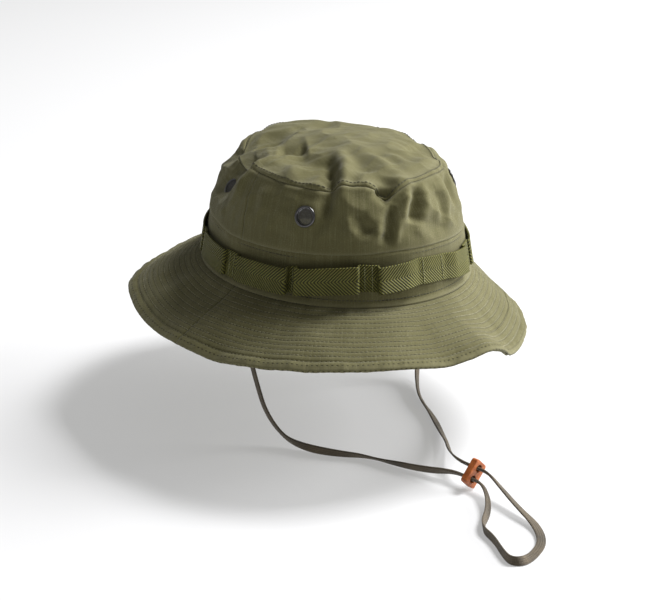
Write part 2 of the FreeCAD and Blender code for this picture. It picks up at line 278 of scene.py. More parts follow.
def cotton(name, dark, middle, light, worn=0.55, rows=None):
    """Washed cotton: cloudy dye, slubs, fine weave, rubbed ridges and painted shade at the quilting's
    needle dimples.
    """
    material, tree, shader = new_material(name)
    uv = (add_node(tree, "UVMap", {"uv_map": "cloth"}), "UV")
    cloud = stretched(tree, uv, 38.0, 30.0, 5.0)
    slub = stretched(tree, uv, 1100.0, 45.0, 2.0)
    fleck = stretched(tree, uv, 1300.0, 1200.0, 2.0)
    tone = calc(tree, "MULTIPLY_ADD", (slub, "Fac"), 0.50, 0.0)
    tone = calc(tree, "MULTIPLY_ADD", (cloud, "Fac"), 0.42, tone)
    tone = calc(tree, "MULTIPLY_ADD", (fleck, "Fac"), 0.60, tone)
    tone = calc(tree, "MULTIPLY_ADD", tone, 1.5, -0.68)
    ramp = colours(tree, tone, [(0.0, dark), (0.5, middle), (1.0, light)])
    rub = add_node(tree, "Attribute", {"attribute_name": "rubbed"})
    rubbed = calc(tree, "MULTIPLY", (rub, "Fac"), worn)
    surface = mixed(tree, "MIX", rubbed, ramp, (*light, 1.0))
    if rows:
        hole_shade = needle_hole_shade(tree, uv, *rows)
        # Painted shade: the cloth is darkened towards a dark grey olive at each needle hole, standing
        # in for the shade in the stitch's dimple.
        surface = mixed(tree, "MULTIPLY", hole_shade, surface, (0.24, 0.24, 0.21, 1.0))
    connect(tree, shader, "Base Color", surface)
    warp = add_node(tree, "TexWave", {"bands_direction": "X"}, Vector=uv, Scale=620.0,
                    Distortion=0.6, Detail=1.0)
    weft = add_node(tree, "TexWave", {"bands_direction": "Y"}, Vector=uv, Scale=540.0,
                    Distortion=0.6, Detail=1.0)
    weave = calc(tree, "ADD", (warp, "Fac"), (weft, "Fac"))
    height = calc(tree, "MULTIPLY_ADD", (slub, "Fac"), 1.6, weave)
    if rows:
        height = calc(tree, "MULTIPLY_ADD", hole_shade, -5.0, height)
    woven = bumped(tree, shader, height, 0.4, 0.00025)
    bumped(tree, shader, (cloud, "Fac"), 0.35, 0.002, below=woven)
    shader.inputs["Roughness"].default_value = 0.88
    shader.inputs["Specular IOR Level"].default_value = 0.2
    shader.inputs["Sheen Weight"].default_value = 0.16
    shader.inputs["Sheen Roughness"].default_value = 0.45
    shader.inputs["Sheen Tint"].default_value = (0.9, 0.9, 0.86, 1.0)
    return material


CLOTH_DARK = (0.087, 0.0805, 0.032)
CLOTH_MIDDLE = (0.125, 0.116, 0.050)
CLOTH_LIGHT = (0.214, 0.201, 0.113)
twill = cotton("washed_twill", CLOTH_DARK, CLOTH_MIDDLE, CLOTH_LIGHT)
drill = cotton("sweatband_drill", (0.055, 0.050, 0.024), (0.085, 0.079, 0.040),
               (0.14, 0.13, 0.078))
print("cotton finishes:", twill.name, drill.name)

# %% [markdown]
# The foliage strip is herringbone webbing: twill ribs that run up to the middle of the
# tape and turn down again, so that the points lie in a line along it.  Distance from
# the middle of the tape, added to distance along it, gives stripes that turn at the middle.

# %% Herringbone webbing
RIBS = 2 * math.pi / 0.0022               # turns of the rib wave in a metre, 2.2 mm apart
WEBBING_WIDTH = 17.4


def herringbone(name, dark, light, centre, slope=1.0):
    """Chevron ribs on a tape whose UV is in metres, along and up."""
    material, tree, shader = new_material(name)
    uv = (add_node(tree, "UVMap", {"uv_map": "cloth"}), "UV")
    parts = add_node(tree, "SeparateXYZ", Vector=uv)
    off_middle = calc(tree, "ABSOLUTE", calc(tree, "SUBTRACT", (parts, "Y"), centre))
    turned = calc(tree, "MULTIPLY_ADD", off_middle, -slope, (parts, "X"))
    wobble = stretched(tree, uv, 160.0, 160.0, 1.0)
    phase = calc(tree, "MULTIPLY_ADD", turned, RIBS,
                 calc(tree, "MULTIPLY", (wobble, "Fac"), 2.0))
    rib = calc(tree, "MULTIPLY_ADD", calc(tree, "SINE", phase), 0.5, 0.5)
    yarn = add_node(tree, "TexWave", {"bands_direction": "Y"}, Vector=uv, Scale=480.0)
    grain = stretched(tree, uv, 1400.0, 1100.0, 2.0)
    cloud = stretched(tree, uv, 60.0, 90.0, 2.0)
    tone = calc(tree, "MULTIPLY_ADD", rib, 0.75, calc(tree, "MULTIPLY", (grain, "Fac"), 0.3))
    tone = calc(tree, "MULTIPLY_ADD", (cloud, "Fac"), 0.4, calc(tree, "SUBTRACT", tone, 0.25))
    ramp = colours(tree, tone, [(0.18, dark), (0.8, light)])
    connect(tree, shader, "Base Color", ramp)
    height = calc(tree, "MULTIPLY_ADD", (yarn, "Fac"), 0.25, rib)
    bumped(tree, shader, height, 0.8, 0.0006)
    shader.inputs["Roughness"].default_value = 0.72
    shader.inputs["Specular IOR Level"].default_value = 0.35
    return material


webbing_finish = herringbone("herringbone_webbing", (0.020, 0.020, 0.003),
                             (0.172, 0.166, 0.034), WEBBING_WIDTH * MM / 2)
print("webbing finish:", webbing_finish.name)

# %% [markdown]
# The chin cord is a soft braided tape, dark brown with a paler face where the braid is
# rubbed.  The slider is a block of vegetable-tanned leather: orange brown, with pores
# and a soft polish.  The vents are gunmetal, dark and fairly glossy.

# %% Braid, leather and metal
def braid(name, dark, light):
    """Fine diagonal braid on a tape whose UV is in metres."""
    material, tree, shader = new_material(name)
    uv = (add_node(tree, "UVMap", {"uv_map": "cloth"}), "UV")
    parts = add_node(tree, "SeparateXYZ", Vector=uv)
    step = 2 * math.pi / 0.0013
    one = calc(tree, "SINE", calc(tree, "MULTIPLY",
                                  calc(tree, "ADD", (parts, "X"), (parts, "Y")), step))
    other = calc(tree, "SINE", calc(tree, "MULTIPLY",
                                    calc(tree, "SUBTRACT", (parts, "X"), (parts, "Y")), step))
    plait = calc(tree, "MULTIPLY", one, other)
    cloud = stretched(tree, uv, 45.0, 80.0, 3.0)
    grain = stretched(tree, uv, 1200.0, 1200.0, 1.0)
    tone = calc(tree, "MULTIPLY_ADD", plait, 0.16, (cloud, "Fac"))
    tone = calc(tree, "MULTIPLY_ADD", (grain, "Fac"), 0.3, calc(tree, "SUBTRACT", tone, 0.15))
    ramp = colours(tree, tone, [(0.25, dark), (0.8, light)])
    connect(tree, shader, "Base Color", ramp)
    bumped(tree, shader, plait, 0.5, 0.0003)
    shader.inputs["Roughness"].default_value = 0.72
    shader.inputs["Sheen Weight"].default_value = 0.15
    return material


def leather(name, dark, light):
    """Leather: pores, cloudy tan and a soft polish, on object coordinates."""
    material, tree, shader = new_material(name)
    place = (add_node(tree, "TexCoord"), "Object")
    pores = add_node(tree, "TexVoronoi", Vector=place, Scale=1500.0)
    cloud = add_node(tree, "TexNoise", Vector=place, Scale=260.0, Detail=5.0)
    fibre = add_node(tree, "TexNoise", Vector=place, Scale=1800.0, Detail=2.0)
    tone = calc(tree, "MULTIPLY_ADD", (fibre, "Fac"), 0.5, (cloud, "Fac"))
    ramp = colours(tree, calc(tree, "SUBTRACT", tone, 0.25), [(0.25, dark), (0.8, light)])
    connect(tree, shader, "Base Color", ramp)
    height = calc(tree, "MULTIPLY_ADD", (pores, "Distance"), 0.6, (fibre, "Fac"))
    bumped(tree, shader, height, 0.45, 0.0003)
    shine = calc(tree, "MULTIPLY_ADD", (cloud, "Fac"), 0.3, 0.32)
    connect(tree, shader, "Roughness", shine)
    return material


def metal(name, colour, roughness):
    """Dark plated metal with a slightly uneven plating."""
    material, tree, shader = new_material(name)
    place = (add_node(tree, "TexCoord"), "Object")
    cloud = add_node(tree, "TexNoise", Vector=place, Scale=900.0, Detail=4.0)
    shade = tuple(0.6 * channel for channel in colour)
    ramp = colours(tree, (cloud, "Fac"), [(0.3, shade), (0.7, colour)])
    connect(tree, shader, "Base Color", ramp)
    connect(tree, shader, "Roughness",
            calc(tree, "MULTIPLY_ADD", (cloud, "Fac"), 0.2, roughness))
    bumped(tree, shader, (cloud, "Fac"), 0.1, 0.0002)
    shader.inputs["Metallic"].default_value = 1.0
    return material


cord_finish = braid("braided_tape", (0.026, 0.019, 0.009), (0.140, 0.104, 0.058))
tan_leather = leather("tan_leather", (0.25, 0.055, 0.012), (0.54, 0.155, 0.034))
gunmetal = metal("gunmetal", (0.16, 0.158, 0.16), 0.22)
screen_wire = metal("screen_wire", (0.21, 0.205, 0.20), 0.5)
print("other finishes:", cord_finish.name, tan_leather.name, gunmetal.name, screen_wire.name)

# %% [markdown]
# The chin cord is one flat tape about 6 mm wide.  It leaves the sweatband at the right
# ear, drops to the floor, runs through the slider, round a loop, back through the slider
# and up to the left ear.  Its line is a NURBS curve with given control points, and
# the tape is a flattened tube that turns slowly about that line, as a limp tape does.

# %% Route of the chin cord
SLIDER_CENTRE = np.array([-15.0, -158.0, -101.0])
SLIDER_HEADING = math.radians(-85.0)
SLIDER_ROLL = math.radians(45.0)
slide = np.array([math.cos(SLIDER_HEADING), math.sin(SLIDER_HEADING), 0.0])
level = np.array([math.sin(SLIDER_HEADING), -math.cos(SLIDER_HEADING), 0.0])
across = level * math.cos(SLIDER_ROLL) - np.array([0, 0, math.sin(SLIDER_ROLL)])
HOLE_OFFSET = 4.0
lower = SLIDER_CENTRE + across * HOLE_OFFSET
upper = SLIDER_CENTRE - across * HOLE_OFFSET
EAR = 82.8
right_ear = [(-EAR, 0, -3.2), (-EAR, 0, -25.2)]
right_strand = [(-81, -6, -46), (-78.5, -11, -68), (-75.5, -17, -90), (-69.5, -29, -106),
                (-65, -46, -109.7), (-54, -67.5, -109.7), (-40, -83, -109.7),
                (-34, -102.5, -109.7), (-26, -124, -108.5)]
loop_back = [(-23.5, -180.5, -106.5), (-35, -192.5, -109), (-52.5, -204, -109.5),
             (-56.5, -220, -109.7), (-63.5, -233.5, -109.7), (-68, -245, -109.7),
             (-62.5, -250.5, -109.7), (-51, -247.5, -109.7), (-34.5, -240, -109.7),
             (-23, -224, -109), (-19, -203, -106.5), (-14, -181, -101.5)]
left_strand = [(-4, -124, -102), (10.5, -106, -106.5), (22, -88, -109), (37, -64, -109.7),
               (50, -35, -109.7), (66, -14.5, -108.5), (78, -2, -99.5), (82, 1.5, -75),
               (83.5, 1.5, -48)]
left_ear = [(EAR, 0, -25.2), (EAR, 0, -3.2)]
BACK = 15.0
FORE = 10.0
first_pass = [lower - slide * BACK, lower, lower + slide * FORE]
second_pass = [upper + slide * FORE, upper, upper - slide * BACK]
route = (right_ear + right_strand + first_pass + loop_back + second_pass + left_strand
         + left_ear)
print(len(route), "points in the cord's route")

# %% Line of the cord
def smooth_line(name, points):
    """Points along a NURBS spline whose control points are given, in mm."""
    curve = bpy.data.curves.new(name, "CURVE")
    curve.dimensions = "3D"
    spline = curve.splines.new("NURBS")
    spline.points.add(len(points) - 1)
    for knot, point in zip(spline.points, points):
        knot.co = (*[x * MM for x in point], 1.0)
    spline.order_u = 3
    spline.use_endpoint_u = True
    spline.resolution_u = 14
    holder = bpy.data.objects.new(name, curve)
    line = bpy.data.meshes.new_from_object(holder)
    dense = np.array([vertex.co for vertex in line.vertices]) / MM
    bpy.data.objects.remove(holder)
    bpy.data.meshes.remove(line)
    return dense


line = smooth_line("cord_line", route)
TAPE_WIDTH = 6.0
TAPE_THICK = 1.3
LAID_HEIGHT = -109.7                      # route height of a stretch that lies on the floor
# How far the tape is turned from lying flat, in degrees, at points of the route.
ROLL = eased([(0, 55), (4.5, 55), (6, 88), (7, 62), (8, 34), (9, 62), (10, 66), (11, 48),
              (13, 45), (15, 62), (16, 84), (19, 92), (20, 120), (21, 168), (23, 172),
              (24, 155), (26, 135), (28, 135), (30, 122), (32, 150), (34, 112), (36, 122),
              (37.5, 146), (39, 150)], step=0.05, soften=21)
route_place = np.linspace(0, len(route) - 1, len(line))
roll = np.radians(ROLL(route_place))
tangent = np.gradient(line, axis=0)
tangent /= np.linalg.norm(tangent, axis=1)[:, None]
flatways = np.cross(tangent, [0, 0, 1.0])
steep = np.linalg.norm(flatways, axis=1) < 0.25
gentle = np.flatnonzero(~steep)
nearest = gentle[np.abs(np.arange(len(line))[:, None] - gentle).argmin(axis=1)]
flatways = flatways[nearest]
flatways -= tangent * np.sum(flatways * tangent, axis=1)[:, None]
flatways /= np.linalg.norm(flatways, axis=1)[:, None]
upways = np.cross(flatways, tangent)
wide = flatways * np.cos(roll)[:, None] + upways * np.sin(roll)[:, None]
thin = np.cross(wide, tangent)

# In the slider's holes the tape is gathered narrow.
from_slider = np.linalg.norm(line - SLIDER_CENTRE, axis=1)
gather = 1 - 0.30 * np.exp(-(from_slider / 21.0) ** 6)
half_rise = (np.abs(np.sin(roll)) * TAPE_WIDTH + np.abs(np.cos(roll)) * TAPE_THICK) / 2
near_floor = np.clip(1 - (line[:, 2] - LAID_HEIGHT) / 4.0, 0, 1)
line[:, 2] -= near_floor * (LAID_HEIGHT - FLOOR - half_rise)
line[:, 2] = np.maximum(line[:, 2], FLOOR + half_rise)
cord_length = np.linalg.norm(np.diff(line, axis=0), axis=1).sum()
print("cord length, mm:", round(cord_length, 1))

# %% [markdown]
# The tape is a tube pressed flat: a grid whose one direction follows the line and whose
# other goes round the section.  A curve with a bevel would make a round cord, and its
# roll is harder to set than a table of angles.

# %% Chin cord
TAPE_EDGE = 0.42                          # squareness of the tape's section


def tape_section(u, v):
    """Point of the flattened tube: u along the cord, v round it."""
    at = u * (len(line) - 1)
    around = v * 2 * math.pi
    pick = [np.stack([np.interp(at, np.arange(len(line)), field[:, i]) for i in range(3)], 1)
            for field in (line, wide, thin)]
    narrow = np.interp(at, np.arange(len(line)), gather)
    reach = np.sign(np.cos(around)) * np.abs(np.cos(around)) ** TAPE_EDGE
    depth = np.sign(np.sin(around)) * np.abs(np.sin(around)) ** TAPE_EDGE
    reach = reach * narrow * TAPE_WIDTH / 2
    depth = depth / narrow * TAPE_THICK / 2
    return pick[0] + pick[1] * reach[:, None] + pick[2] * depth[:, None]


def closed_up(piece):
    """Fill the open ends of a tube and turn its faces outwards."""
    bm = bmesh.new()
    bm.from_mesh(piece.data)
    rims = [edge for edge in bm.edges if edge.is_boundary]
    bmesh.ops.holes_fill(bm, edges=rims, sides=0)
    bmesh.ops.recalc_face_normals(bm, faces=bm.faces)
    bm.to_mesh(piece.data)
    bm.free()
    return piece


cord = closed_up(laid_grid("chin_cord_tape", (540, 16), tape_section,
                           (cord_length, 2 * (TAPE_WIDTH + TAPE_THICK)), weld=True))
cord.data.materials.append(cord_finish)
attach(cord, "hat")
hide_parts("chin_cord")

# %% [markdown]
# The slider is a small block of thick leather with two holes.  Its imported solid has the
# right size and place, so a copy of it is welded, its edges are rounded over as they wear,
# and it takes the leather finish.

# %% Leather slider
SLIDER_ROUND = 0.55


def softened_copy(name, node, width, segments=3):
    """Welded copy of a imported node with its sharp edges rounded."""
    bm = bmesh.new()
    bm.from_mesh(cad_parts[node].data)
    bmesh.ops.remove_doubles(bm, verts=bm.verts, dist=1e-6)
    bmesh.ops.dissolve_limit(bm, angle_limit=math.radians(1), verts=bm.verts, edges=bm.edges)
    sharp = [edge for edge in bm.edges
             if len(edge.link_faces) == 2 and edge.calc_face_angle() > math.radians(50)]
    bmesh.ops.bevel(bm, geom=sharp, offset=width * MM, segments=segments, profile=0.5,
                    affect="EDGES", offset_type="OFFSET", material=-1, clamp_overlap=True)
    bmesh.ops.triangulate(bm, faces=[face for face in bm.faces if len(face.verts) > 4])
    return add_piece(name, bm)


slider = softened_copy("leather_slider", "cord_slider", SLIDER_ROUND)
slider.data.materials.append(tan_leather)
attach(slider, "slider")
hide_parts("cord_slider")
print("slider faces:", len(slider.data.polygons))

# %% [markdown]
# The crown is described by two numbers: an angle round the hat, counted from the wearer's
# left ear, and a height up the cloth from the brim seam, which carries on over the
# tip panel to its middle.  Smooth curves through a few knots give the outline at
# each height.  Every piece on the crown, webbing and stitches included, uses this one function.

# %% Crown outline
MIDDLE = 150.0                            # cloth height at the middle of the tip panel
draw_in = eased([(-6, -0.6), (0, 0), (34, 5.6), (45, 6.9), (55, 9.4), (65, 13.4), (72, 17.2),
                 (77, 21), (90, 33.5), (110, 53), (130, 69), (MIDDLE, 85)], soften=13)
rise = eased([(-6, -6), (0, 0), (34, 34), (45, 45), (55, 55), (65, 64.6), (72, 71), (77, 75.3),
              (90, 80.6), (110, 84), (130, 85.6), (MIDDLE, 86)], soften=13)
keep_length = eased([(-6, 1), (80, 1), (100, 0.95), (125, 0.6), (MIDDLE, 0)], soften=21)


def crown_plain(angle, height):
    """Crown cloth with no folds, in mm; the angle is in degrees."""
    turn = np.radians(angle)
    across_part = HALF_WIDTH - draw_in(height)
    along_part = across_part + EXTRA * keep_length(height)
    return np.stack([across_part * np.cos(turn), along_part * np.sin(turn), rise(height)], 1)


def outward(surface, angle, height, step=0.6):
    """Unit normal of a surface given as a function of angle and height."""
    round_way = surface(angle + step, height) - surface(angle - step, height)
    up_way = surface(angle, height + step) - surface(angle, height - step)
    normal = np.cross(round_way, up_way)
    return normal / np.maximum(np.linalg.norm(normal, axis=1), 1e-9)[:, None]


# Height of the tip seam round the hat: it dips where the cloth is puckered.
tip_seam = eased([(-80, 77), (-56, 74.5), (-20, 77), (30, 76), (80, 77), (130, 77), (172, 76.5),
                  (187, 75.5), (200, 74), (217, 73.5), (224, 76.5), (238, 77), (245, 75.5),
                  (250.5, 68), (257, 73), (269, 77), (283, 77), (304, 74.5), (340, 77),
                  (390, 76), (440, 77)], soften=11)
# Height of the seam between the band and the side panels.
band_seam = eased([(-80, 35), (-30, 32.5), (30, 34), (80, 34), (130, 34), (158, 33.5),
                   (172, 31), (206, 32), (220, 33), (236, 34), (253, 35.5), (276, 35),
                   (300, 32.5), (330, 32.5), (390, 34), (440, 34)], soften=15)
print("crown height at the middle:", round(float(rise(MIDDLE)), 1))

# %% [markdown]
# A soft crown that has been folded in a pocket keeps its creases.  Each crease is a
# short line on the cloth with a width and a depth: below zero is a valley, above zero
# is a ridge.  A cloth simulation would give creases too, but not in chosen places.

# %% Creases of the crown
# (points as (angle, height), width, depth) in degrees and mm.
CREASES = [
    # ridge in front of the hollow behind the right ear
    ([(180, 114), (176, 98), (173.5, 88), (172.5, 77), (171.5, 64), (168.5, 53), (162, 43)],
     4.2, 3.4),
    # long crease over the tip seam
    ([(211, 118), (217, 101), (220, 87), (221, 76), (220, 66), (218.5, 53)], 4.4, -6.4),
    ([(223, 112), (227.5, 96), (228.5, 84), (228, 76), (227, 64)], 5.0, 3.2),
    ([(203, 114), (211, 100), (216, 87)], 9.0, -3.6),
    ([(190, 98), (197, 84), (203, 78)], 5.0, 1.6),
    # pucker in the tip seam
    ([(245, 77), (249, 71), (252, 67)], 4.6, -5.4),
    ([(256, 84), (252, 76), (250, 70)], 6.5, -3.4),
    ([(238, 79), (243, 77.5), (246, 74)], 3.2, 1.4),
    ([(262, 80), (257, 75), (253, 69)], 3.0, 1.5),
    # diagonal crease below the tip seam, front
    ([(270, 75), (267, 66), (263.5, 58), (261, 50)], 4.6, -5.2),
    ([(263, 72), (260, 63), (257, 54)], 3.6, 3.2),
    ([(275, 72), (272, 62), (268, 50)], 5.0, 1.8),
    # upright crease above the band, front
    ([(254, 66), (250, 56), (248.5, 47), (246, 38)], 3.8, -5.0),
    ([(255, 55), (252.5, 46), (251, 38)], 3.2, 1.8),
    ([(246, 54), (243, 46), (238, 40), (233, 38)], 4.0, 2.2),
    ([(229, 60), (231, 51), (235, 45)], 3.2, 1.9),
    ([(235, 62), (238, 54), (242, 47)], 4.4, -3.2),
    ([(222, 52), (214, 45), (204, 43)], 5.0, -1.2),
    # front and left side
    ([(281, 70), (284, 58), (282, 44)], 4.5, -2.2),
    ([(288, 74), (290, 60), (287, 46)], 5.0, 1.8),
    ([(300, 74), (297, 62), (300, 50)], 4.0, -2.6),
    ([(312, 80), (318, 66), (322, 50)], 6.0, -3.5),
    ([(328, 72), (333, 58), (331, 44)], 5.0, 2.0),
    ([(345, 84), (350, 70), (352, 55)], 6.0, -3.0),
    ([(10, 70), (16, 58), (15, 45)], 5.0, 2.0),
    ([(48, 86), (52, 72), (50, 58), (54, 45)], 7.0, -3.6),
    ([(62, 70), (66, 55), (64, 42)], 5.0, 2.2),
    ([(92, 84), (95, 70), (92, 55)], 6.5, -3.0),
    ([(112, 74), (116, 60), (114, 46)], 5.5, 2.0),
    # folds of the tip panel
    ([(235, 128), (238, 112), (243, 98), (247, 88)], 6.5, -2.2),
    ([(228, 126), (231, 112), (234, 98)], 5.0, 1.6),
    ([(262, 120), (264, 104), (262, 90)], 5.5, 1.8),
    ([(276, 118), (274, 102), (270, 88)], 6.5, -1.8),
    ([(296, 112), (292, 98), (289, 86)], 5.0, -1.8),
    ([(20, 110), (60, 104), (100, 112)], 10.0, -3.0),
]


# Broad hollows where the crown has sunk in; the vents move with these.
HOLLOWS = [
    ([(160, 100), (157, 88), (154, 76), (152, 64), (150, 54), (149, 42)], 17.0, -10.5),
    ([(170, 126), (164, 114), (159, 102)], 13.0, -8.0),
    ([(112, 122), (116, 104), (122, 88), (127, 72), (131, 58)], 20.0, -11.5),
    ([(330, 98), (322, 86), (316, 76)], 16.0, -3.8),
    ([(176, 112), (196, 103), (210, 97)], 13.0, -4.8),
]


def crease_depth(points, surface, creases):
    """Total in or out movement of points, in mm, from a list of creases."""
    total = np.zeros(len(points))
    for knots, width, depth in creases:
        corners_here = surface(*np.array(knots, float).T)
        best = np.full(len(points), np.inf)
        share = np.zeros(len(points))
        legs = len(corners_here) - 1
        for leg in range(legs):
            start, run = corners_here[leg], corners_here[leg + 1] - corners_here[leg]
            along = np.clip((points - start) @ run / (run @ run), 0, 1)
            gap = np.linalg.norm(points - start - along[:, None] * run, axis=1)
            share = np.where(gap < best, (leg + along) / legs, share)
            best = np.minimum(best, gap)
        fade = np.clip(5.5 * share * (1 - share), 0.25, 1)
        total += depth * fade * np.exp(-(best / width) ** 2)
    return total


def step_up(x, low, high):
    """Smooth step from 0 below low to 1 above high."""
    share = np.clip((x - low) / (high - low), 0, 1)
    return share * share * (3 - 2 * share)


VENTS = [(211.0, 56.0), (149.0, 56.0), (31.0, 56.0), (-31.0, 56.0)]


def hollows(points, height):
    """Movement of the crown from the broad hollows alone."""
    return step_up(height, 34, 50) * crease_depth(points, crown_plain, HOLLOWS)


def crumple(points, height):
    """Creases and small crumples: none below the band seam, few beside a vent."""
    centres = crown_plain(*np.array(VENTS).T)
    gaps = np.linalg.norm(points[:, None, :] - centres[None], axis=2).min(axis=1)
    stiff = np.exp(-(gaps / 10.0) ** 4)
    small = 0.55 * ripple(points, 22.0, 5) + 0.30 * ripple(points, 11.0, 8)
    ridged = 0.7 - np.abs(ripple(points, 34.0, 13)) * 1.6
    free = step_up(height, 34, 46)
    creased = crease_depth(points, crown_plain, CREASES) + small + 0.8 * ridged
    return hollows(points, height) + free * (1 - 0.85 * stiff) * creased


def crown(angle, height, out=0.0):
    """Creased crown cloth, moved out by a distance."""
    plain = crown_plain(angle, height)
    normal = outward(crown_plain, angle, height)
    return plain + normal * (crumple(plain, height) + out)[:, None]


def crown_hollowed(angle, height):
    """Crown with its broad hollows only: what a vent is set on."""
    plain = crown_plain(angle, height)
    return plain + outward(crown_plain, angle, height) * hollows(plain, height)[:, None]


print(len(CREASES), "creases and", len(HOLLOWS), "hollows")

# %% [markdown]
# The crown has a front and a back side panel and a tip panel.  Each edge that is turned
# and topstitched pulls a shallow groove at the seam and leaves a puffed, rubbed roll
# beside it, so seams are part of the cloth's own shape.  A second attribute marks the
# rolls, and the cloth finish is paler there.

# %% Seams of the crown
def roll_beside(distance, groove=0.45, puff=0.30, width=1.1):
    """Height of the cloth at a distance from a seam: groove, then a puffed roll."""
    return (-groove * np.exp(-(distance / (0.6 * width)) ** 2)
            + puff * np.exp(-((np.abs(distance) - 2.0 * width) / width) ** 2))


def mark_rubbed(piece, shares):
    """Store how rubbed the cloth is at each vertex, from 0 to 1."""
    layer = piece.data.attributes.new("rubbed", "FLOAT", "POINT")
    layer.data.foreach_set("value", np.clip(shares, 0, 1).astype(np.float32))


def mark_rubbed_rows(piece, rule):
    """Mark a laid grid by a rule of the cloth distance up from its lower edge, in mm."""
    shares = np.zeros(len(piece.data.vertices))
    for loop, spot in zip(piece.data.loops, piece.data.uv_layers[0].data):
        shares[loop.vertex_index] = rule(spot.uv[1] / MM)
    mark_rubbed(piece, shares)


def finish_cloth(piece, material, slot_name, *nodes):
    """Give a cloth piece its finish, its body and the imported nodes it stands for."""
    piece.data.materials.append(material)
    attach(piece, "hat")
    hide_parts(*nodes)
    return piece


def arc_gap(angle, seam_angle, radius=90.0):
    """Distance round the hat from an upright seam, in mm."""
    return np.abs((angle - seam_angle + 180) % 360 - 180) * math.radians(1) * radius


CLOTH = 1.1                               # thickness of the crown's cloth
GIRTH_RADIUS = 93.0                       # radius of a circle with the crown's girth
TURNED_EDGE = 0.6                         # how far the sides stand over the band
EAR_SEAMS = (0.0, 180.0)


def crown_side(angle, height):
    """Side panel: overlaps the band below, meets the tip above, seamed at the ears."""
    over_band = TURNED_EDGE * (1 - step_up(height - band_seam(angle), 2.0, 12.0))
    at_tip = roll_beside(tip_seam(angle) - height)
    at_ear = sum(roll_beside(arc_gap(angle, seam), 0.2, 0.1, 0.8) for seam in EAR_SEAMS)
    return crown(angle, height, over_band + at_tip + at_ear)


def unpack_angle(u, start):
    """Angle of a half panel that begins at start degrees."""
    return start + 180.0 * u


SIDE_CLOTH = 44.0                         # cloth of a side panel from seam to seam


def side_panel(name, start):
    """One side panel between the ears."""
    def place(u, v):
        angle = unpack_angle(u, start)
        low, high = band_seam(angle % 360), tip_seam(angle % 360)
        return crown_side(angle, low + (high - low) * v)
    piece = laid_grid(name, (330, 52), place, (math.pi * GIRTH_RADIUS, SIDE_CLOTH))
    mark_rubbed_rows(piece, lambda up: 0.7 * math.exp(-((SIDE_CLOTH - up) / 1.8) ** 2)
                     + 0.8 * math.exp(-(up / 1.5) ** 2))
    return piece


def punch_vents(piece, places, radius):
    """Open a hole in the cloth for each vent."""
    bm = bmesh.new()
    bm.from_mesh(piece.data)
    gone = [face for face in bm.faces
            if min((face.calc_center_median() - spot).length for spot in places) < radius * MM]
    bmesh.ops.delete(bm, geom=gone, context="FACES")
    bm.to_mesh(piece.data)
    bm.free()


HOLE = 5.7                                # radius of the hole that a vent needs
vent_angles, vent_heights = np.array(VENTS).T
vent_middles = crown(vent_angles, vent_heights) * MM
vent_facings = outward(crown_hollowed, vent_angles, vent_heights, 3.0)
vent_spots = [(Vector(middle), Vector(facing))
              for middle, facing in zip(vent_middles, vent_facings)]

side_back = side_panel("crown_side_back_cloth", 0.0)
side_front = side_panel("crown_side_front_cloth", 180.0)
for panel, node in ((side_back, "crown_side_back"), (side_front, "crown_side_front")):
    punch_vents(panel, [spot for spot, _ in vent_spots], HOLE)
    thicken(panel, CLOTH)
    finish_cloth(panel, twill, "cloth", node)
print("side panels:", len(side_back.data.polygons), len(side_front.data.polygons), "faces")

# %% [markdown]
# The tip panel is the round piece on top.  It shares the seam with the side panels, and its
# grid runs round the hat and in to the middle, where the last row closes to a point.  Its
# weave is laid flat from above, so that the threads run straight across the hat and do
# not gather at the middle.

# %% Tip panel
def tip_height(angle, share):
    """Cloth height at a share of the way from the tip seam to the middle."""
    low = tip_seam(angle % 360)
    return low + (MIDDLE - 0.01 - low) * share


def tip_face(angle, height):
    """Tip panel's face: it laps over the sides and is rolled beside their seam."""
    at_seam = roll_beside(height - tip_seam(angle % 360), 0.45, 0.40, 1.1)
    return crown(angle, height, at_seam + 0.25)


def tip_place(u, v):
    """Point of the tip panel: u round the hat, v from the seam to the middle."""
    angle = 360.0 * u
    return tip_face(angle, tip_height(angle, v))


tip = laid_grid("crown_tip_cloth", (540, 60), tip_place, (1, 1), weld=True)
flat_uv = tip.data.uv_layers[0].data
for loop in tip.data.loops:
    spot = tip.data.vertices[loop.vertex_index].co
    flat_uv[loop.index].uv = (spot.x, spot.y)
tip_spots = np.array([vertex.co for vertex in tip.data.vertices]) / MM
tip_reach = np.hypot(tip_spots[:, 0], tip_spots[:, 1] * HALF_WIDTH / HALF_LENGTH)
mark_rubbed(tip, 0.6 * np.exp(-((tip_reach - (HALF_WIDTH - 22)) / 2.5) ** 2))
thicken(tip, CLOTH)
finish_cloth(tip, twill, "cloth", "crown_tip_panel")
print("tip panel:", len(tip.data.polygons), "faces")

# %% [markdown]
# Below the side panels is the band, a plain strip that the webbing is sewn to.  It tucks
# under the side panels at its top, and at its foot it is turned over the brim seam, which
# leaves a thin corded ridge all the way round.

# %% Crown band
BAND_CLOTH = 37.0                         # height of the strip as cut
BAND_TUCK = 3.0
BAND_FOOT = 1.6                           # out-turn of the band at the brim seam


def band_place(u, v):
    """Point of the band: u round the hat, v up the band."""
    angle = 360.0 * u
    top = band_seam(angle % 360) + BAND_TUCK
    height = -0.4 + (top + 0.4) * v
    foot = BAND_FOOT * np.exp(-(height / 2.2) ** 2)
    foot = foot + 0.45 * np.exp(-((height - band_seam(angle % 360) + 2.0) / 1.4) ** 2)
    waver = 0.35 * ripple(crown_plain(angle, height), 40.0, 21) * step_up(height, 0, 8)
    return crown_plain(angle, height) + outward(crown_plain, angle, height) * (
        foot + waver)[:, None]


